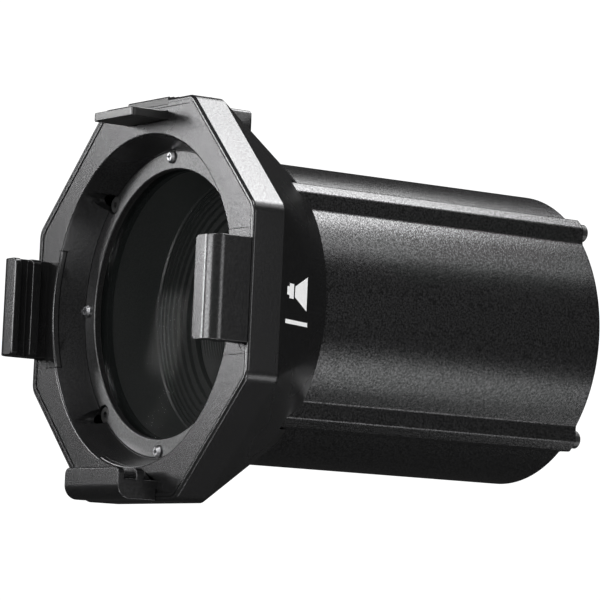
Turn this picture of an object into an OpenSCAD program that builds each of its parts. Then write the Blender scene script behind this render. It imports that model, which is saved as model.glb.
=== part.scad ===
// Interchangeable 19 degree lens tube of an ellipsoidal spotlight.
// An octagonal accessory holder carries two-slot runners and a sliding latch for colour frames.
// Behind it sit the front lens, a stepped light baffle, the rear lens and a ribbed outer tube.
// Lengths along the light path are measured from the front lip: y grows towards the lamp.
// The finished part is moved back so that its origin is the centre of the tube's rear end.

/* [Front housing] */
// Width across the flats of the octagonal rim
across_flats = 178.4; // [178:0.2:182]
// Depth of the straight octagonal rim
rim_depth = 15.8; // [15:0.2:18]
// Distance from the front lip to the rear edge of the collar
collar_end = 52.8; // [52:0.2:56]
// Outer diameter of the collar's round rear edge
collar_rear_d = 140.8; // [140.4:0.2:142]
// Radius of the rim's eight corners
rim_corner_r = 8; // [4:0.5:8]
// Width of the raised lip around the face plate
lip_w = 3.6; // [3.4:0.1:3.8]

/* [Face plate] */
// Diameter of the round front opening
opening_d = 148.6; // [148:0.2:149]
// Thickness of the face plate
plate_t = 2.9; // [2.6:0.1:3]
// Depth of the retaining ring's front face behind the lip
ring_y = 14.7; // [14.5:0.1:15]

/* [Lens retaining ring] */
// Outer diameter of the retaining ring
ring_d = 137.8; // [137.4:0.1:138]
// Clear diameter inside the retaining ring
ring_clear_d = 121; // [118:0.5:121.2]
// Radius on which the four small ring screws sit
ring_screw_r = 66.1; // [65.8:0.1:66.4]

/* [Outer tube] */
// Outer diameter of the tube between its ribs
tube_d = 137.4; // [137:0.1:137.6]
// Wall thickness of the tube
tube_wall = 2.5; // [2:0.1:3]
// Overall length from the front lip to the tube's rear end
overall_len = 208.8; // [200:0.5:240]
// Distance from the axis to the flat top of a rib
rib_top = 73.7; // [73.2:0.1:74.2]
// Width of the flat top of a rib
rib_top_w = 6; // [5.6:0.2:7]
// Width of a rib where it meets the tube
rib_base_w = 16.5; // [15.5:0.1:18]
// Radius on which the screw ports inside the ribs sit
port_r = 68.4; // [68.2:0.1:68.8]

/* [Accessory runners] */
// Clear width between opposite runner slots, for a 6.25 inch (158.75 mm) frame
frame_gap = 160.4; // [160:0.2:161]
// Height of each runner's grip on the frame edge
lip_reach = 5.1; // [4:0.1:6]
// Length of each runner
runner_len = 45; // [40:1:50]
// Width of each of the two frame slots
slot_w = 6.1; // [5.6:0.1:6.4]

/* [Latch] */
// Width of the sliding blade
blade_w = 32.8; // [32:0.2:33]
// Thickness of the sliding blade
blade_t = 3.8; // [3.4:0.1:3.9]
// How far the closed blade reaches in front of the lip
blade_reach = 17.8; // [17:0.1:18]
// Travel of the latch from closed to fully open
latch_travel = 18; // [16:0.5:18]

/* [Optics] */
// Diameter of the front lens
front_lens_d = 126.8; // [126:0.2:127]
// Diameter of the rear lens
rear_lens_d = 88; // [84:1:90]
// Number of coarse steps in the light baffle
coarse_steps = 7; // [5:1:7]

/* [Hidden] */

$fn = 96;
body_black = [0.09, 0.09, 0.095];
tube_black = [0.07, 0.07, 0.072];
inner_black = [0.05, 0.05, 0.05];
steel = [0.62, 0.62, 0.64];
glass = [0.80, 0.88, 0.90, 0.4];

eps = 0.05;                 // overlap that makes two solids of one node join
fit = 0.3;                  // gap between round parts that slip together
snug = 0.1;                 // gap between flat parts that slip together
rim_a = across_flats / 2;   // apothem of the octagon
pocket_a = rim_a - lip_w;   // apothem of the face plate's pocket
ledge_a = pocket_a - 3.2;   // apothem of the hollow behind the plate
plate_front = 0.5;          // the plate lies this far behind the lip
plate_back = plate_front + plate_t;
hole_r = opening_d / 2;
ring_r = ring_d / 2;
clear_r = ring_clear_d / 2;
ring_t = 2.8;
funnel_floor = ring_y + ring_t + snug;  // the ring rests here
bolt_seat = funnel_floor + 0.3;         // the tube bolts' heads rest here
flange_y = funnel_floor + 2.6;          // front of the housing's inner flange
flange_back = 24.4;                     // rear of the housing's inner flange
lens_seat_y = 21.6;                     // shoulder that the front lens rests on
tube_r = tube_d / 2;
bore_r = tube_r - tube_wall;
tube_front = flange_back + 0.1;
tube_back = overall_len - 1.2;          // the rear ring makes up the rest
rear_bore_r = 63;                       // clear opening of the rear ring
sleeve_r = 75.8;
sleeve_end = 40;
collar_r = collar_rear_d / 2;

slot_u = frame_gap / 2;                 // distance from the axis to a slot's floor
grip_u = slot_u - lip_reach;            // distance from the axis to a runner's lips
runner_front = -(2 * slot_w + 4.3 + 3.3);
runner_out = rim_a - 0.2;               // outer face of a runner
foot_half = 27;                         // half length of a runner's flush foot
foot_u = 84.8;                          // outer edge of a runner's foot
runner_screw_u = 79;
runner_screw_z = 16;

blade_z = 79.8;                         // underside of the blade
blade_top = blade_z + blade_t;
blade_back = 22;
spring_x = 12.4;
spring_y = 6;                           // front end of the springs
spring_wall = blade_back + latch_travel + 1.5; // fixed wall behind the springs
groove_z = 86.4;                        // floor of the thumb pad's groove
groove_half = 17.2;
thumb_half = 16.7;
thumb_z = groove_z + 0.25;
thumb_len = 24.2;
track_half = 19.6;                      // half width of the track on top of the collar
track_top = 88.7;
track_back = 42.9;
track_lean = 9;                         // the rear face leans back by this angle
guide_half = 19.4;                      // half width of the latch guide
guide_back = spring_wall + 0.7;
guide_z = 76.6;
latch_screw_y = [9.5, 17.5];

ring_angles = [0, 90, 180, 270];
rib_angles = [45, 135, 225, 315];
baffle_angles = [22.5, 157.5, 202.5, 337.5];
baffle_screw_r = 64.1;

step_y = 49.6;                          // first ridge of the stepped baffle
step_r = clear_r - 0.1;
// depth and radius of ridge i: the bowl closes in faster as it gets deeper
function step_depth(i) = step_y + 0.8 * i + 0.075 * i * i;
function step_radius(i) = step_r - 1.2 * i - 0.024 * pow(i, 3);
neck_y = step_depth(coarse_steps) + 2.5;
neck_r = step_radius(coarse_steps);
fine_pitch = 1.4;
fine_len = 39.2;
fine_end = neck_y + fine_len;

front_lens_r = front_lens_d / 2;
front_lens_y = funnel_floor + 0.75;     // flat front of the lens
front_lens_edge = 2.05;                 // thickness at the lens's edge
rear_lens_r = rear_lens_d / 2;
rear_lens_y = fine_end + 2.6;
cell_end = rear_lens_y + 15;

// points on an arc about c, from angle a0 to a1
function on_circle(c, r, a) = c + r * [cos(a), sin(a)];
function arc(c, r, a0, a1, n) = [for (i = [0:n]) on_circle(c, r, a0 + (a1 - a0) * i / n)];
// centre of the rounded corner k of an octagon with apothem a
function corner_c(a, rc, k) = (a - rc) / cos(22.5) * [cos(22.5 + 45 * k), sin(22.5 + 45 * k)];

// a flat shape drawn in x and z, filling y0 to y1
module slab(y0, y1) {
    translate([0, y1, 0])
        rotate([90, 0, 0])
            linear_extrude(height = y1 - y0)
                children();
}

// a profile of [radius, y] points turned about the light path
module turned(points) {
    rotate([-90, 0, 0])
        rotate_extrude()
            polygon(points);
}

module rod(r, y0, y1) {
    translate([0, y0, 0])
        rotate([-90, 0, 0])
            cylinder(r = r, h = y1 - y0);
}

module cone_rod(r0, r1, y0, y1) {
    translate([0, y0, 0])
        rotate([-90, 0, 0])
            cylinder(r1 = r0, r2 = r1, h = y1 - y0);
}

// copies of the children at the given angles, r away from the axis
module ring_of(angles, r) {
    for (a = angles)
        rotate([0, -a, 0])
            translate([r, 0, 0])
                children();
}

module octagon(a, rc) {
    polygon([for (k = [0:7], s = [0, 1]) corner_c(a, rc, k) + rc * [cos(45 * (k + s)), sin(45 * (k + s))]]);
    for (k = [0:7])
        translate(corner_c(a, rc, k))
            circle(r = rc);
}

module box(x0, x1, y0, y1, z0, z1) {
    translate([x0, y0, z0])
        cube([x1 - x0, y1 - y0, z1 - z0]);
}

// moves the part so that the origin is the centre of the tube's rear end
module in_frame() {
    translate([0, -overall_len, 0])
        children();
}

// ---------- front housing ----------

// octagonal rim that tapers into the round collar
module collar_shape() {
    slab(0, rim_depth)
        octagon(rim_a, rim_corner_r);
    hull() {
        slab(rim_depth - eps, rim_depth)
            octagon(rim_a, rim_corner_r, $fn = 32);
        slab(collar_end - eps, collar_end)
            circle(r = collar_r, $fn = 96);
    }
}

module collar_hollow() {
    slab(-1, plate_back)
        octagon(pocket_a, rim_corner_r - lip_w + 0.2);
    slab(plate_back - eps, rim_depth)
        octagon(ledge_a, 2);
    hull() {
        slab(rim_depth - eps, rim_depth)
            octagon(ledge_a, 2, $fn = 16);
        slab(43.9, 44)
            circle(r = 72, $fn = 48);
    }
}

// cross-section of the track that carries the thumb pad, with rounded shoulders
module track_section() {
    drop = 26;
    edge = 2;
    flare = 0.3;
    polygon(concat(
        arc([track_half - edge, track_top - edge], edge, atan(flare), 90, 6),
        arc([-track_half + edge, track_top - edge], edge, 90, 180 - atan(flare), 6),
        [[-track_half - flare * drop, track_top - drop], [track_half + flare * drop, track_top - drop]]
    ));
}

// plan of the track, with rounded rear corners
module track_plan() {
    edge = 5;
    half = track_half + 1.4;
    polygon(concat(
        [[-60, rim_depth - eps], [60, rim_depth - eps], [60, rim_depth + 3], [half + 2.4, rim_depth + 3]],
        arc([half - edge, track_back + 1.6 - edge], edge, 0, 90, 8),
        arc([-half + edge, track_back + 1.6 - edge], edge, 90, 180, 8),
        [[-half - 2.4, rim_depth + 3], [-60, rim_depth + 3]]
    ));
}

module track_shape() {
    difference() {
        intersection() {
            slab(rim_depth - eps, track_back + 5)
                track_section();
            translate([0, 0, track_top - 30])
                linear_extrude(height = 40)
                    track_plan();
        }
        // leaning rear face
        translate([-40, track_back, track_top])
            rotate([track_lean, 0, 0])
                translate([0, 0, -40])
                    cube([80, 30, 60]);
    }
}

// rib-shaped outline, grown by g on every side
module rib_outline(g) {
    polygon([
        [60, -rib_base_w / 2 - g], [68, -rib_base_w / 2 - g],
        [rib_top + g, -rib_top_w / 2 - 0.7 * g], [rib_top + g, rib_top_w / 2 + 0.7 * g],
        [68, rib_base_w / 2 + g], [60, rib_base_w / 2 + g]
    ]);
}

module front_housing() {
    color(body_black)
    in_frame()
    difference() {
        union() {
            difference() {
                union() {
                    collar_shape();
                    track_shape();
                }
                collar_hollow();
            }
            turned([
                [clear_r + 0.1, flange_y], [sleeve_r, flange_y],
                [sleeve_r, sleeve_end], [clear_r + 0.1, sleeve_end]
            ]);
        }
        rod(front_lens_r + fit, flange_y - 1, lens_seat_y);
        // seat of the outer tube with its ribs
        slab(flange_back, collar_end + 1) {
            circle(r = tube_r + fit);
            for (a = rib_angles)
                rotate(a)
                    rib_outline(0.8);
        }
        ring_of(ring_angles, ring_screw_r)
            rod(1.5, flange_y - 1, flange_back - 0.8);
        ring_of(rib_angles, port_r)
            rod(2.15, flange_y - 1, flange_back + 1);
        ring_of(baffle_angles, baffle_screw_r)
            rod(1.2, lens_seat_y + 0.7, flange_back + 1);
        // fine groove round the lip's front face
        slab(-1, 0.35)
            difference() {
                octagon(pocket_a + 1.75, rim_corner_r - lip_w + 1.95);
                octagon(pocket_a + 1.3, rim_corner_r - lip_w + 1.5);
            }
        // pocket of the latch guide, and the groove that the thumb pad slides in
        box(
            -guide_half - snug, guide_half + snug,
            plate_back - 1, guide_back + snug,
            guide_z - snug, groove_z
        );
        box(-groove_half, groove_half, -1, track_back + 6, groove_z, rim_a + 6);
    }
}

// block in the housing that holds the blade and its springs
module latch_guide() {
    cavity = blade_w / 2 + 0.4;
    color(inner_black)
    in_frame()
    difference() {
        box(-guide_half, guide_half, plate_back + snug, guide_back, guide_z, groove_z - snug);
        box(-cavity, cavity, plate_back - 1, spring_wall, blade_z - 0.3, blade_top + 0.3);
        box(-9.6, 9.6, plate_back - 1, spring_wall, blade_top, groove_z + 1);
    }
}

// ---------- face plate with its funnel ----------

module runner_windows(grow) {
    for (a = [0, 180, 270])
        rotate([0, -a, 0])
            slab(-1, plate_back + snug)
                translate([60, -foot_half - grow])
                    square([foot_u - 60 + grow, 2 * foot_half + 2 * grow]);
}

module face_plate() {
    color(body_black)
    in_frame()
    difference() {
        union() {
            difference() {
                slab(plate_front, plate_back)
                    octagon(pocket_a - snug, rim_corner_r - lip_w + 0.1);
                rod(hole_r + 1, -1, plate_back + 1);
            }
            // backing pads that the runners' feet rest on
            for (a = [0, 180, 270])
                rotate([0, -a, 0])
                    slab(plate_back + snug, plate_back + 2.8)
                        translate([71, -foot_half])
                            square([ledge_a - 71.4, 2 * foot_half]);
            turned([
                [hole_r + 0.5, plate_front], [hole_r, plate_front + 0.6],
                [ring_r + 0.2, ring_y], [ring_r + 0.2, funnel_floor],
                [front_lens_r + 1.8, funnel_floor], [front_lens_r + 1.8, flange_y - snug],
                [ring_r + 2.6, flange_y - snug], [ring_r + 2.6, ring_y],
                [hole_r + 1.9, plate_back + 2], [hole_r + 1.9, plate_front]
            ]);
        }
        // open light path through the backing pads
        cone_rod(hole_r + 0.1, ring_r + 0.3, plate_front - 0.3, ring_y);
        runner_windows(snug);
        for (a = [0, 180, 270])
            rotate([0, -a, 0])
                for (z = [-runner_screw_z, runner_screw_z])
                    translate([runner_screw_u, 0, z])
                        rod(1.65, plate_back - 1, plate_back + 4);
        ring_of(ring_angles, ring_screw_r)
            rod(1.6, funnel_floor - 1, flange_y + 1);
        // pockets for the heads of the tube bolts
        ring_of(rib_angles, port_r)
            rod(4.6, 4, bolt_seat);
        ring_of(rib_angles, port_r)
            rod(2.15, bolt_seat - 1, flange_y + 1);
        // mouth for the latch blade
        box(-blade_w / 2 - 0.3, blade_w / 2 + 0.3, -1, plate_back + 1, blade_z - 0.2, blade_top + 0.3);
    }
}

// ---------- retaining ring and its screws ----------

module retaining_ring() {
    color(body_black)
    in_frame()
    difference() {
        turned([
            [clear_r, ring_y + 0.4], [clear_r + 0.4, ring_y],
            [ring_r - 0.3, ring_y], [ring_r, ring_y + 0.3],
            [ring_r, ring_y + ring_t], [clear_r, ring_y + ring_t]
        ]);
        ring_of(ring_angles, ring_screw_r)
            rod(1.6, ring_y - 1, ring_y + ring_t + 1);
        ring_of(rib_angles, port_r)
            rod(4.5, ring_y - 1, ring_y + ring_t + 1);
    }
}

// pan-head screw with a cross recess: head towards -y, its seat at y = 0
module pan_screw(head_r, head_h, shank_r, len) {
    difference() {
        union() {
            rod(head_r, -0.45 * head_h, 0);
            cone_rod(head_r * 0.62, head_r, -head_h, -0.45 * head_h);
        }
        box(-0.16 * head_r, 0.16 * head_r, -head_h - 1, -0.45 * head_h, -0.5 * head_r, 0.5 * head_r);
        box(-0.5 * head_r, 0.5 * head_r, -head_h - 1, -0.45 * head_h, -0.16 * head_r, 0.16 * head_r);
    }
    rod(shank_r, -eps, len);
}

// cylinder-head screw with a hexagon socket: head towards -y, its seat at y = 0
module socket_screw(head_r, head_h, shank_r, len) {
    difference() {
        union() {
            rod(head_r, -head_h + 0.4, 0);
            cone_rod(head_r - 0.4, head_r, -head_h, -head_h + 0.4);
        }
        translate([0, -head_h - 1, 0])
            rotate([-90, 0, 0])
                cylinder(r = head_r * 0.42, h = 0.6 * head_h + 1, $fn = 6);
    }
    rod(shank_r, -eps, len);
}

module ring_screws() {
    color(steel)
    in_frame()
    ring_of(ring_angles, ring_screw_r)
        translate([0, ring_y, 0])
            pan_screw(2.9, 1.9, 1.45, 8.4);
}

module tube_bolts() {
    color(body_black)
    in_frame()
    ring_of(rib_angles, port_r)
        translate([0, bolt_seat, 0])
            socket_screw(3.9, 2.3, 1.95, 18);
}

// ---------- accessory runners ----------

// E-shaped section with two frame slots, drawn in x and y
module runner_section() {
    edge = 6.4; // rounding of the front lip's outer edge
    polygon(concat(
        [[slot_u, 0], [runner_out, 0]],
        arc([runner_out - edge, runner_front + edge], edge, 0, -90, 16),
        arc([grip_u + 0.8, runner_front + 0.8], 0.8, -90, -180, 3),
        [
            [grip_u, runner_front + 3.3], [slot_u, runner_front + 3.3],
            [slot_u, -slot_w - 4.3], [grip_u, -slot_w - 4.3],
            [grip_u, -slot_w], [slot_u, -slot_w]
        ]
    ));
}

// outline that rounds the ends of the lips, drawn in x and z
module runner_outline() {
    h = runner_len / 2;
    edge = 3;
    polygon(concat(
        [[runner_out + 1, -h], [runner_out + 1, h]],
        arc([grip_u + edge, h - edge], edge, 90, 180, 6),
        arc([grip_u + edge, -h + edge], edge, 180, 270, 6)
    ));
}

module runner() {
    difference() {
        union() {
            intersection() {
                translate([0, 0, -runner_len / 2])
                    linear_extrude(height = runner_len)
                        runner_section();
                slab(runner_front - 1, 1)
                    runner_outline();
            }
            intersection() {
                slab(-1, plate_front + eps)
                    translate([slot_u, -runner_len / 2])
                        square([foot_u - slot_u - 1, runner_len]);
                box(0, 100, 0 - eps, plate_front + eps, -50, 50);
            }
            slab(plate_front, plate_back)
                translate([64, -foot_half])
                    square([foot_u - 64, 2 * foot_half]);
        }
        // the foot follows the round opening and the funnel
        rod(hole_r + 0.5, -30, plate_front);
        cone_rod(hole_r + 0.5, hole_r, plate_front - eps, plate_front + 0.6);
        cone_rod(hole_r, ring_r + 0.2, plate_front + 0.6 - eps, ring_y);
        for (z = [-runner_screw_z, runner_screw_z])
            translate([runner_screw_u, 0, z])
                rod(1.3, plate_front + 0.6, plate_back + 1);
    }
}

module runner_right() {
    color(body_black)
    in_frame()
    runner();
}

module runner_left() {
    color(body_black)
    in_frame()
    mirror([1, 0, 0])
        runner();
}

module runner_bottom() {
    color(body_black)
    in_frame()
    rotate([0, 90, 0])
        runner();
}

module runner_screws() {
    color(steel)
    in_frame()
    for (a = [0, 180, 270])
        rotate([0, -a, 0])
            for (z = [-runner_screw_z, runner_screw_z])
                translate([runner_screw_u, plate_back + 2.8, z])
                    mirror([0, 1, 0])
                        pan_screw(2.7, 1.8, 1.25, 4.8);
}

// ---------- sliding latch ----------

module latch_blade() {
    color(body_black)
    in_frame()
    difference() {
        union() {
            translate([0, 0, blade_z])
                linear_extrude(height = blade_t)
                    blade_plan();
            box(-9, 9, 5, 21, blade_top - eps, thumb_z);
        }
        for (y = latch_screw_y)
            translate([0, y, blade_z + 1])
                cylinder(r = 1.3, h = 12);
    }
}

module blade_plan() {
    edge = 1.6;
    half = blade_w / 2;
    difference() {
        union() {
            translate([-half, -blade_reach + edge])
                square([blade_w, blade_back + blade_reach - edge]);
            translate([-half + edge, -blade_reach])
                square([blade_w - 2 * edge, edge + eps]);
            for (x = [-half + edge, half - edge])
                translate([x, -blade_reach + edge])
                    circle(r = edge);
        }
        for (x = [-spring_x, spring_x])
            translate([x - 2.1, spring_y - 0.1])
                square([4.2, 40]);
    }
}

// thumb pad: a wedge with cross ridges, drawn as a side view in y and z
module thumb_section() {
    rise = 2.5 / thumb_len;
    top = 90.2;
    ridges = 8;
    pitch = 2.4;
    polygon(concat(
        [[0.3, thumb_z], [0.3, top - 0.6]],
        [
            for (i = [0:ridges - 1], s = [0, 1])
                [0.9 + pitch * (i + 0.5 * s), top + rise * pitch * i - (s == 1 ? 0.7 : 0)]
        ],
        [
            [20.5, top + 20.5 * rise], [thumb_len - 1, top + 2.4],
            [thumb_len, top + 1.2], [thumb_len, thumb_z]
        ]
    ));
}

module latch_thumb() {
    color(body_black)
    in_frame()
    difference() {
        rotate([90, 0, 90])
            translate([0, 0, -thumb_half])
                linear_extrude(height = 2 * thumb_half)
                    thumb_section();
        for (y = latch_screw_y)
            translate([0, y, thumb_z - 1]) {
                cylinder(r = 1.6, h = 12);
                translate([0, 0, 3.2])
                    cylinder(r = 3, h = 8);
            }
    }
}

module latch_screws() {
    color(steel)
    in_frame()
    for (y = latch_screw_y)
        translate([0, y, thumb_z + 2.2])
            rotate([-90, 0, 0])
                pan_screw(2.8, 1.4, 1.25, 6.5);
}

module coil(r, wire_r, len, turns) {
    rotate([-90, 0, 0])
        linear_extrude(height = len, twist = -360 * turns, slices = 12 * turns, $fn = 6)
            translate([r, 0])
                circle(r = wire_r, $fn = 6);
}

module latch_springs() {
    color(steel)
    in_frame()
    for (x = [-spring_x, spring_x])
        translate([x, spring_y + 0.1, (blade_z + blade_top) / 2])
            coil(1.4, 0.35, spring_wall - spring_y - 0.3, 13);
}

// ---------- lenses and baffles ----------

// flat front at y = 0, rounded edge of thickness t, then a dome of the given height
module plano_convex(r, t, dome) {
    ball = (r * r + dome * dome) / (2 * dome);
    half = asin(r / ball);
    rotate([-90, 0, 0])
        rotate_extrude()
            difference() {
                union() {
                    square([r, t]);
                    intersection() {
                        translate([0, t + dome - ball])
                            circle(r = ball, $fn = 360);
                        translate([0, t - eps])
                            square([r, dome + 1]);
                    }
                }
                translate([-2 * ball, -1])
                    square([2 * ball, t + dome + 2]);
            }
}

module lens_gasket() {
    color(inner_black)
    in_frame()
    turned([
        [clear_r + 0.6, ring_y + ring_t], [front_lens_r + 0.9, ring_y + ring_t],
        [front_lens_r + 0.9, front_lens_y - 0.02], [clear_r + 0.6, front_lens_y - 0.02]
    ]);
}

module front_lens() {
    color(glass)
    in_frame()
    translate([0, front_lens_y, 0])
        plano_convex(front_lens_r, front_lens_edge, 12.5);
}

module stepped_baffle() {
    body_r = clear_r + 1.7;
    flange_r = 65.7;
    color(inner_black)
    in_frame()
    difference() {
        turned(concat(
            [
                [flange_r, tube_front], [flange_r, tube_front + 2],
                [body_r, tube_front + 2], [body_r, step_y + 2.5],
                [neck_r + 6, neck_y], [neck_r, neck_y]
            ],
            [
                for (i = [coarse_steps:-1:1], s = [0, 1])
                    [s == 0 ? step_radius(i) : step_radius(i - 1) + 0.25, step_depth(i) + 0.4 * s]
            ],
            [[step_r, step_y], [step_r + 0.5, step_y - 0.8], [step_r + 0.5, tube_front]]
        ));
        ring_of(baffle_angles, baffle_screw_r)
            rod(1.25, tube_front - 1, tube_front + 3);
        // room for the screw ports of the tube
        ring_of(rib_angles, port_r)
            rod(4.6, tube_front - 1, tube_front + 3);
    }
}

module baffle_screws() {
    color(steel)
    in_frame()
    ring_of(baffle_angles, baffle_screw_r)
        translate([0, tube_front + 2, 0])
            mirror([0, 1, 0])
                pan_screw(1.6, 1.3, 1.15, 3.9);
}

module fine_baffle() {
    start = neck_y + snug;
    grooves = floor(fine_len / fine_pitch);
    pitch = (fine_end - start) / grooves;
    groove_depth = 0.9;
    color(inner_black)
    in_frame()
    turned(concat(
        [[neck_r + 4, start], [neck_r + 4, fine_end]],
        [
            for (i = [grooves - 1:-1:0], s = [0, 1, 2])
                [neck_r + (s == 1 ? groove_depth : 0), start + (i + 1 - 0.5 * s) * pitch]
        ]
    ));
}

module rear_lens_cell() {
    socket_r = neck_r + 4 + fit;    // slips over the fine baffle's end
    out = neck_r + 4 + 2.4;
    color(inner_black)
    in_frame()
    turned([
        [neck_r - 0.5, fine_end + snug], [socket_r, fine_end + snug],
        [socket_r, fine_end - 8], [out, fine_end - 8],
        [out, cell_end], [rear_lens_r + fit, cell_end],
        [rear_lens_r + fit, rear_lens_y - 0.6], [neck_r - 0.5, rear_lens_y - 0.6]
    ]);
}

module rear_lens_gasket() {
    color(inner_black)
    in_frame()
    turned([
        [rear_lens_r - 3, rear_lens_y - 0.58], [rear_lens_r, rear_lens_y - 0.58],
        [rear_lens_r, rear_lens_y - 0.02], [rear_lens_r - 3, rear_lens_y - 0.02]
    ]);
}

module rear_lens() {
    color(glass)
    in_frame()
    translate([0, rear_lens_y, 0])
        plano_convex(rear_lens_r, 3, 10);
}

module rear_lens_ring() {
    color(inner_black)
    in_frame()
    difference() {
        turned([
            [rear_lens_r - 2, rear_lens_y + 4], [rear_lens_r, rear_lens_y + 3.02],
            [rear_lens_r, rear_lens_y + 7], [rear_lens_r - 2, rear_lens_y + 7]
        ]);
        // slots for the spanner that tightens the ring
        for (a = [0, 90])
            rotate([0, a, 0])
                box(-100, 100, rear_lens_y + 5.6, rear_lens_y + 8, -1.5, 1.5);
    }
}

// ---------- outer tube and its rear end ----------

module tube_section() {
    difference() {
        union() {
            circle(r = tube_r);
            for (a = rib_angles)
                rotate(a)
                    rib_outline(0);
        }
        difference() {
            circle(r = bore_r);
            for (a = rib_angles)
                rotate(a)
                    translate([port_r, 0])
                        circle(r = 4.2);
        }
    }
}

module outer_tube() {
    color(tube_black)
    in_frame()
    difference() {
        slab(tube_front, tube_back)
            tube_section();
        ring_of(rib_angles, port_r)
            rod(2, tube_front - 1, tube_back + 1);
    }
}

module rear_ring() {
    color(tube_black)
    in_frame()
    difference() {
        union() {
            slab(tube_back, overall_len)
                difference() {
                    union() {
                        circle(r = tube_r);
                        for (a = rib_angles)
                            rotate(a)
                                rib_outline(0);
                    }
                    circle(r = rear_bore_r);
                }
            turned([
                [rear_bore_r, tube_back - 11], [rear_bore_r + 1, tube_back - 11],
                [rear_bore_r + 1, tube_back + eps], [rear_bore_r, tube_back + eps]
            ]);
        }
        ring_of(rib_angles, port_r)
            rod(2.15, tube_back - 1, overall_len + 1);
    }
}

module rear_screws() {
    color(body_black)
    in_frame()
    ring_of(rib_angles, port_r)
        translate([0, overall_len, 0])
            mirror([0, 1, 0])
                socket_screw(4.1, 4.4, 1.95, 13);
}

front_housing();
face_plate();
retaining_ring();
ring_screws();
tube_bolts();
runner_left();
runner_right();
runner_bottom();
runner_screws();
latch_guide();
latch_blade();
latch_thumb();
latch_screws();
latch_springs();
lens_gasket();
front_lens();
stepped_baffle();
baffle_screws();
fine_baffle();
rear_lens_cell();
rear_lens();
rear_lens_gasket();
rear_lens_ring();
outer_tube();
rear_ring();
rear_screws();
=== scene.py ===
import math

import bmesh
import bpy
from mathutils import Matrix, Vector
from mathutils.bvhtree import BVHTree


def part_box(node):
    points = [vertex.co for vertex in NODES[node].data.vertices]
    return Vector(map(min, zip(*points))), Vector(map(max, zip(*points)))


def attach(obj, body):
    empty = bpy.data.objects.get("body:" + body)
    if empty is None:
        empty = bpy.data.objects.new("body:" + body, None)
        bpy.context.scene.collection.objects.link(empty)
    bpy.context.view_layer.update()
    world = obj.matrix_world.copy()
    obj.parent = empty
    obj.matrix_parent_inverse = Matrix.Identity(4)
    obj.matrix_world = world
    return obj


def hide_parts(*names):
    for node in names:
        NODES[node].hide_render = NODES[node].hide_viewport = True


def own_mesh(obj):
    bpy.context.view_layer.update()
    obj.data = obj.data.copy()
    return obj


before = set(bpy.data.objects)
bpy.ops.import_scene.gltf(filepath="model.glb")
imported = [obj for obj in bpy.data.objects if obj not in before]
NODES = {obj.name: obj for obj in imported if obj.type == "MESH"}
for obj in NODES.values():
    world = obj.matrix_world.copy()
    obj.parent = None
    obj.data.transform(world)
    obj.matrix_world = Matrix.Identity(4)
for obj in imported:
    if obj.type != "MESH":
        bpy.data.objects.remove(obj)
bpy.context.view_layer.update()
MM = 0.001
WHITE = (1, 1, 1, 1)
UP = Vector((0, 0, 1))

scene = bpy.context.scene
scene.view_settings.view_transform = "Standard"
scene.view_settings.look = "None"

FRONT_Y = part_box("front_housing")[0].y          # the front lip
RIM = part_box("front_housing")[1].x              # half the width across the rim's flats
PLATE_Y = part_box("face_plate")[0].y             # the face plate's front
RING_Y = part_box("retaining_ring")[0].y          # the retaining ring's front
REAR_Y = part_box("rear_ring")[1].y               # the tube's rear end
RIM_BAND = 1.2 * MM                             # how far inside RIM the rim's outer edge may lie
OPENING_R = 74.8 * MM                           # the round opening in the face plate, at its front edge
OPENING_BAND = 0.5 * MM                         # how far outside OPENING_R its edge may lie
FOOT_DEPTH = 0.4 * MM                           # a runner's foot meets the plate within this of PLATE_Y
SAME_PLACE = 0.01 * MM                          # ends of a line along Y are no further apart across it

# ---------- camera, at the photograph's viewing angle ----------

CAMERA_PLACE = (1.3184, -1.0325, -0.1460)
CAMERA_TURN = 55.353                            # degrees round Z, where 0 looks along +Y
CAMERA_TILT = 95.5003                           # degrees, where 90 is level and more looks up
CAMERA_ROLL = 2.5237                            # degrees round the line of sight
CAMERA_LENS = 210.8                             # mm, for a sensor that is 36 mm wide


def add_camera():
    cam = bpy.data.cameras.new("camera")
    cam.lens = CAMERA_LENS
    cam.sensor_width = 36.0
    cam.clip_start = 0.05
    cam.clip_end = 50.0
    camera = bpy.data.objects.new("camera", cam)
    turn = Matrix.Rotation(math.radians(CAMERA_TURN), 4, "Z")
    tilt = Matrix.Rotation(math.radians(CAMERA_TILT), 4, "X")
    roll = Matrix.Rotation(math.radians(CAMERA_ROLL), 4, "Z")
    camera.matrix_world = Matrix.Translation(CAMERA_PLACE) @ turn @ tilt @ roll
    scene.collection.objects.link(camera)
    scene.camera = camera


# ---------- materials ----------

COAT_METAL = 0.85           # high, so that the grain of a dark coat shows in its highlights
RELIEF = 0.2 * MM           # how deep the bump of a coat counts as
SLOW_SCALE = 22.0           # patches per metre of the drift in roughness
NOISE_LOW = 0.34            # nearly all noise values lie between these two
NOISE_HIGH = 0.66


def new_node(tree, kind, **values):
    made = tree.nodes.new(kind)
    for key, value in values.items():
        if key in made.inputs.keys():
            made.inputs[key].default_value = value
        else:
            setattr(made, key, value)
    return made


def new_material(name):
    mat = bpy.data.materials.new(name)
    mat.use_nodes = True
    return mat, mat.node_tree, mat.node_tree.nodes["Principled BSDF"]


def remap(tree, value, from_low, from_high, low, high):
    """Turns a value between from_low and from_high into the range low to high."""
    ramp = new_node(tree, "ShaderNodeMapRange")
    ramp.inputs["From Min"].default_value = from_low
    ramp.inputs["From Max"].default_value = from_high
    ramp.inputs["To Min"].default_value = low
    ramp.inputs["To Max"].default_value = high
    tree.links.new(value, ramp.inputs["Value"])
    return ramp.outputs["Result"]


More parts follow.
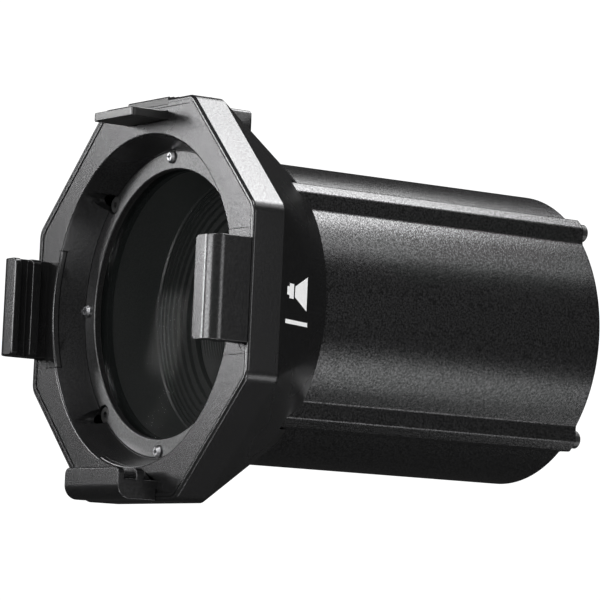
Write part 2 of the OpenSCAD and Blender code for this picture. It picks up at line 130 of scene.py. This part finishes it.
def noise(tree, low, high, **values):
    """A noise texture on the object's own coordinates, and its value in the range low to high."""
    coords = new_node(tree, "ShaderNodeTexCoord")
    texture = new_node(tree, "ShaderNodeTexNoise", **values)
    tree.links.new(coords.outputs["Object"], texture.inputs["Vector"])
    return texture, remap(tree, texture.outputs["Fac"], NOISE_LOW, NOISE_HIGH, low, high)


def coated(name, color, rough, grain, bump, mottle=0.25, drift=0.01, shine=0.5, metal=0.0):
    """Powder coat: fine grain in colour and bump, and a slow drift in how rough the surface is.

    grain is in grains per metre, bump is the relief's strength, mottle and drift are the grain's and the
    roughness's swing to each side, and shine is the specular level."""
    mat, tree, shader = new_material(name)
    shader.inputs["Specular IOR Level"].default_value = shine
    shader.inputs["Metallic"].default_value = metal
    _, roughness = noise(tree, rough - drift, rough + drift, Scale=SLOW_SCALE, Detail=2.0)
    tree.links.new(roughness, shader.inputs["Roughness"])
    fine, brightness = noise(tree, 1 - mottle, 1 + mottle, Scale=grain, Detail=1.5, Roughness=0.6)
    tint = new_node(tree, "ShaderNodeVectorMath", operation="SCALE")
    tint.inputs[0].default_value = color
    tree.links.new(brightness, tint.inputs["Scale"])
    tree.links.new(tint.outputs["Vector"], shader.inputs["Base Color"])
    relief = new_node(tree, "ShaderNodeBump", Strength=bump, Distance=RELIEF)
    tree.links.new(fine.outputs["Fac"], relief.inputs["Height"])
    tree.links.new(relief.outputs["Normal"], shader.inputs["Normal"])
    return mat


def lens_glass(name):
    """Coated glass: nearly clear, with faint smears in its gloss."""
    mat, tree, shader = new_material(name)
    shader.inputs["Base Color"].default_value = (0.01, 0.016, 0.014, 1)
    shader.inputs["Alpha"].default_value = 0.05
    shader.inputs["IOR"].default_value = 1.5
    shader.inputs["Specular IOR Level"].default_value = 0.15    # the coating takes most of the reflection
    _, roughness = noise(tree, low=0.08, high=0.14, Scale=35.0, Detail=4.0)
    tree.links.new(roughness, shader.inputs["Roughness"])
    return mat


MATERIALS = {
    "housing_black": coated(
        "housing_coat", (0.046, 0.046, 0.047), rough=0.27, grain=1300.0, bump=0.08, mottle=0.30,
        metal=COAT_METAL,
    ),
    "ring_black": coated(
        "ring_coat", (0.055, 0.055, 0.056), rough=0.38, grain=1250.0, bump=0.10, mottle=0.30,
        metal=COAT_METAL,
    ),
    "tube_black": coated(
        "tube_coat", (0.046, 0.046, 0.047), rough=0.27, grain=1150.0, bump=0.30, mottle=0.62, drift=0.0,
        metal=COAT_METAL,
    ),
    "inner_black": coated(
        "inner_coat", (0.022, 0.022, 0.022), rough=0.42, grain=1500.0, bump=0.05, shine=0.4,
    ),
    "thumb_plastic": coated("thumb_plastic", (0.012, 0.012, 0.012), rough=0.45, grain=1800.0, bump=0.20),
    "latch_metal": coated("latch_coat", (0.012, 0.012, 0.012), rough=0.30, grain=1700.0, bump=0.10),
    "bright_steel": coated(
        "bright_steel", (0.30, 0.30, 0.31), rough=0.36, grain=900.0, bump=0.05, mottle=0.1, drift=0.05,
        metal=1.0,
    ),
    "black_steel": coated(
        "black_steel", (0.02, 0.02, 0.02), rough=0.32, grain=1200.0, bump=0.05, mottle=0.2, drift=0.05,
        shine=0.6,
    ),
    "rubber": coated("rubber", (0.02, 0.02, 0.02), rough=0.75, grain=900.0, bump=0.15),
    "lens_glass": lens_glass("lens_glass"),
    "print_white": coated(
        "print_white", (0.85, 0.85, 0.85), rough=0.55, grain=1500.0, bump=0.05, mottle=0.04,
    ),
}


def paint(obj, finish):
    obj.data.materials.clear()
    obj.data.materials.append(MATERIALS[finish])


# ---------- pieces with rounded edges, which stand for their CAD nodes ----------

WELD = 0.001 * MM           # points closer than this are one point
FLAT_TURN = 0.4             # degrees; faces that turn less than this are joined
WIDE = 1.2 * MM             # a face at least this wide isn't a strip of a rounded edge
CRISP_TURN = 16             # degrees; an edge between two wide faces that turns more stays crisp
SHARP_TURN = 35             # degrees; any edge that turns more stays crisp


def is_wide(face):
    """True for a face that isn't one of the narrow strips that make up a rounded edge."""
    return face.calc_area() > WIDE * max(e.calc_length() for e in face.edges)


def round_edges(bm, radius, segments, least, test):
    """Rounds the edges that turn more than least degrees and whose two ends pass the test."""
    chosen = [
        e for e in bm.edges
        if len(e.link_faces) == 2
        and e.calc_face_angle() > math.radians(least)
        and test(e.verts[0].co, e.verts[1].co)
    ]
    if chosen:
        bmesh.ops.bevel(
            bm, geom=chosen, offset=radius * MM, offset_type="OFFSET", segments=segments,
            profile=0.5, affect="EDGES", clamp_overlap=False, loop_slide=True, material=-1,
        )


def mark_crisp_edges(bm):
    for e in bm.edges:
        turn = e.calc_face_angle(0)
        crisp = turn > math.radians(CRISP_TURN) and all(is_wide(f) for f in e.link_faces)
        e.smooth = not (crisp or turn > math.radians(SHARP_TURN))


def rounded_copy(node, body, rules, slot):
    """A piece that stands for a CAD node, with its edges rounded.

    Each rule is (radius in mm, segments, least angle in degrees, test of the edge's two ends)."""
    bm = bmesh.new()
    bm.from_mesh(NODES[node].data)
    bmesh.ops.remove_doubles(bm, verts=bm.verts, dist=WELD)
    bmesh.ops.dissolve_limit(
        bm, angle_limit=math.radians(FLAT_TURN), verts=bm.verts, edges=bm.edges,
    )
    for radius, segments, least, test in rules:
        round_edges(bm, radius, segments, least, test)
    mark_crisp_edges(bm)
    mesh = bpy.data.meshes.new(node + "_finished")
    bm.to_mesh(mesh)
    bm.free()
    mesh.polygons.foreach_set("use_smooth", [True] * len(mesh.polygons))
    piece = bpy.data.objects.new(node + "_finished", mesh)
    scene.collection.objects.link(piece)
    weight = piece.modifiers.new("even_shading", "WEIGHTED_NORMAL")
    weight.keep_sharp = True
    weight.weight = 80
    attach(piece, body)
    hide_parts(node)
    paint(piece, slot)
    return piece


def everywhere(a, b):
    return True


def at_y(y, tolerance=0.05 * MM):
    return lambda a, b: abs(a.y - y) < tolerance and abs(b.y - y) < tolerance


def along_y(a, b):
    return abs(a.x - b.x) < SAME_PLACE and abs(a.z - b.z) < SAME_PLACE


def reach(p):
    """How far a point is out towards the flat of the octagon that it is nearest to."""
    return max(abs(p.x), abs(p.z), (abs(p.x) + abs(p.z)) / math.sqrt(2))


def on_rim_front(a, b):
    """The outer edge of the rim's front, and not the edges of the groove inside it."""
    return at_y(FRONT_Y)(a, b) and min(reach(a), reach(b)) > RIM - RIM_BAND


def round_opening(a, b):
    """The edge between the face plate's front and its round opening."""
    furthest = max(math.hypot(p.x, p.z) for p in (a, b))
    return at_y(PLATE_Y)(a, b) and furthest < OPENING_R + OPENING_BAND


def above_plate(a, b):
    """Every edge of a runner except where its foot lies flush in the face plate."""
    return not at_y(PLATE_Y, FOOT_DEPTH)(a, b)


RIM_RULES = [(1.3, 3, 40, on_rim_front)]
PLATE_RULES = [(0.45, 3, 40, round_opening), (0.12, 2, 40, at_y(PLATE_Y))]
RING_RULES = [(0.25, 3, 40, at_y(RING_Y))]
TUBE_RULES = [(0.8, 3, 12, along_y)]
REAR_RING_RULES = [(0.8, 3, 12, along_y), (0.3, 3, 60, at_y(REAR_Y))]
RUNNER_RULES = [(0.5, 3, 35, above_plate), (0.12, 2, 60, at_y(PLATE_Y, FOOT_DEPTH))]
BLADE_RULES = [(0.35, 3, 30, everywhere)]
THUMB_RULES = [(0.15, 3, 30, everywhere)]

housing = rounded_copy("front_housing", "root", RIM_RULES, "housing_black")
rounded_copy("face_plate", "root", PLATE_RULES, "housing_black")
ring = rounded_copy("retaining_ring", "root", RING_RULES, "housing_black")
paint(ring, "ring_black")
rounded_copy("outer_tube", "root", TUBE_RULES, "tube_black")
rounded_copy("rear_ring", "root", REAR_RING_RULES, "tube_black")
for side in ("runner_left", "runner_right", "runner_bottom"):
    rounded_copy(side, "root", RUNNER_RULES, "housing_black")
rounded_copy("latch_blade", "latch", BLADE_RULES, "latch_metal")
rounded_copy("latch_thumb", "latch", THUMB_RULES, "thumb_plastic")

# ---------- the latch's springs, on the root body ------------------------------------


def pressed_springs():
    """A copy of the latch's springs, on the root body, in bright steel."""
    piece = bpy.data.objects.new("springs_pressed", NODES["latch_springs"].data.copy())
    scene.collection.objects.link(piece)
    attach(piece, "root")
    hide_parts("latch_springs")
    paint(piece, "bright_steel")
    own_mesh(piece)


pressed_springs()

# ---------- the printed mark on the collar ----------

MARK_PLACE = (82.4, -179.5, -1.0)       # mm, near the middle of the collar's flat side
MARK_PROUD = 0.08                       # mm, how far the print stands above the coat
MARK_SUNK = 0.03                        # mm, how far it reaches into the coat
MARK_DROP = 10.0                        # mm above the surface, where each point is dropped from

# each stroke's two ends, its first width and its last width, in mm from the mark's middle
MARK_STROKES = (
    ((-9.6, 2.8), (-7.6, 2.8), 3.6, 3.6),           # the lamp's cap
    ((-7.6, 2.8), (-3.8, 2.8), 6.4, 6.4),           # the lamp
    ((-2.6, 2.8), (8.2, 2.8), 4.6, 14.6),           # the wedge of light
    ((-10.2, -10.4), (9.4, -10.4), 1.8, 1.8),       # the rule below
)


def ribbon(first, last, first_width, last_width, step=1.0):
    """The two edge points of a flat straight band, every step or less of its length, in mm."""
    first, last = Vector(first), Vector(last)
    along = (last - first).normalized()
    across = Vector((-along.y, along.x)) / 2
    count = max(2, math.ceil((last - first).length / step))
    pairs = []
    for i in range(count + 1):
        p = first.lerp(last, i / count)
        width = first_width + (last_width - first_width) * i / count
        pairs.append((p + across * width, p - across * width))
    return pairs


def print_mark(surface):
    """A beam pictogram: a solid lamp and the wedge of light that it throws, over a plain rule.

    It is laid on the collar's flat side, so each point is dropped onto that surface."""
    tree = BVHTree.FromObject(surface, bpy.context.evaluated_depsgraph_get())
    spot, normal, _, _ = tree.find_nearest(Vector(MARK_PLACE) * MM)
    right = UP.cross(normal).normalized()
    bm = bmesh.new()
    for first, last, first_width, last_width in MARK_STROKES:
        rings = []
        for left_edge, right_edge in ribbon(first, last, first_width, last_width):
            pairs = []
            for edge in (left_edge, right_edge):
                start = spot + (right * edge.x + UP * edge.y + normal * MARK_DROP) * MM
                on, facing, _, _ = tree.ray_cast(start, -normal)
                pairs.append([bm.verts.new(on + facing * h * MM) for h in (MARK_PROUD, -MARK_SUNK)])
            rings.append([pairs[0][0], pairs[0][1], pairs[1][1], pairs[1][0]])
        for a, b in zip(rings, rings[1:]):
            for k in range(4):
                bm.faces.new((a[k], a[(k + 1) % 4], b[(k + 1) % 4], b[k]))
        bm.faces.new(rings[0])
        bm.faces.new(rings[-1][::-1])
    bmesh.ops.recalc_face_normals(bm, faces=bm.faces)
    mesh = bpy.data.meshes.new("beam_mark")
    bm.to_mesh(mesh)
    bm.free()
    piece = bpy.data.objects.new("beam_mark", mesh)
    scene.collection.objects.link(piece)
    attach(piece, "root")
    paint(piece, "print_white")


bpy.context.view_layer.update()
print_mark(housing)

# ---------- the CAD nodes that are shown as they are ----------

PAINTED = {
    "inner_black": ("latch_guide", "stepped_baffle", "fine_baffle", "rear_lens_cell", "rear_lens_ring"),
    "lens_glass": ("front_lens", "rear_lens"),
    "rubber": ("lens_gasket", "rear_lens_gasket"),
    "bright_steel": ("ring_screws", "runner_screws", "latch_screws", "baffle_screws"),
    "black_steel": ("tube_bolts", "rear_screws"),
}
for finish, names in PAINTED.items():
    for name in names:
        paint(NODES[name], finish)

# ---------- light and floor ----------

CENTRE = Vector((0, -0.12, 0))
LIGHT_DISTANCE = 1.8
FLOOR_Z = -0.152                        # below the object, and below the camera, which stands low
FRONT_SIDE = (0.80, -0.57, 0.20)        # the side of the studio that the photographer stands on
DARK_SIDE = -0.3                        # the world is darkest where a direction is this far along it
BRIGHT_SIDE = 0.9                       # and brightest where it is this far along it


def add_world(seen_by_camera, darkest, brightest):
    """White behind the object, and a faint grey light that comes mostly from in front of it."""
    world = bpy.data.worlds.new("studio")
    scene.world = world
    world.use_nodes = True
    tree = world.node_tree
    coords = new_node(tree, "ShaderNodeTexCoord")
    facing = new_node(tree, "ShaderNodeVectorMath", operation="DOT_PRODUCT")
    facing.inputs[1].default_value = FRONT_SIDE
    tree.links.new(coords.outputs["Generated"], facing.inputs[0])
    strength = remap(tree, facing.outputs["Value"], DARK_SIDE, BRIGHT_SIDE, darkest, brightest)
    light = tree.nodes["Background"]
    light.inputs["Color"].default_value = WHITE
    tree.links.new(strength, light.inputs["Strength"])
    seen = new_node(tree, "ShaderNodeBackground", Color=WHITE, Strength=seen_by_camera)
    path = new_node(tree, "ShaderNodeLightPath")
    pick = new_node(tree, "ShaderNodeMixShader")
    tree.links.new(path.outputs["Is Camera Ray"], pick.inputs[0])
    tree.links.new(light.outputs[0], pick.inputs[1])
    tree.links.new(seen.outputs[0], pick.inputs[2])
    tree.links.new(pick.outputs[0], tree.nodes["World Output"].inputs["Surface"])


def softbox(name, azimuth, height, size, power):
    """A soft light that faces the object, from azimuth degrees round Z from +X and height degrees up."""
    light = bpy.data.lights.new(name, "AREA")
    light.shape = "RECTANGLE"
    light.size, light.size_y = size
    light.energy = power
    obj = bpy.data.objects.new(name, light)
    round_z, up = math.radians(azimuth), math.radians(height)
    away = Vector((math.cos(up) * math.cos(round_z), math.cos(up) * math.sin(round_z), math.sin(up)))
    obj.location = CENTRE + away * LIGHT_DISTANCE
    obj.rotation_mode = "QUATERNION"
    obj.rotation_quaternion = away.to_track_quat("Z", "Y")
    scene.collection.objects.link(obj)


# name, azimuth, height, size in metres, power in watts
SOFTBOXES = (
    ("key_top", 74, 62, (0.7, 0.6), 23.0),
    ("key_side", 48, 46, (0.6, 0.6), 4.0),
    ("key_back", 111, 58, (0.6, 0.6), 8.0),
    ("front_high", 300, 46, (0.6, 0.6), 20.0),
    ("front_left", 228, 9, (0.40, 0.40), 15.5),
    ("front_left_high", 217, 18, (0.36, 0.36), 4.2),
    ("front_right", 272, 6, (1.2, 0.4), 17.5),
    ("side_level", 8, 4, (0.6, 0.5), 4.2),
    ("side_low", 40, -35, (0.6, 0.6), 3.7),
    ("side_low_back", 80, -35, (0.6, 0.6), 4.1),
    ("front_low", 320, -35, (0.6, 0.6), 12.0),
    ("under", 10, -65, (0.6, 0.6), 9.8),
)


def add_floor():
    bpy.ops.mesh.primitive_plane_add(size=8.0, location=(0, 0, FLOOR_Z))
    floor = bpy.context.active_object
    floor.name = "floor"
    floor_paint = coated("floor_paint", (0.8, 0.8, 0.8), rough=0.9, grain=60.0, bump=0.0, mottle=0.02)
    floor.data.materials.append(floor_paint)
    # the floor throws no light back at the object, and lets the lights that are below it through
    floor.visible_diffuse = False
    floor.visible_glossy = False
    floor.visible_shadow = False


add_camera()
add_world(seen_by_camera=1.1, darkest=0.02, brightest=0.20)
for made_by in SOFTBOXES:
    softbox(*made_by)
add_floor()
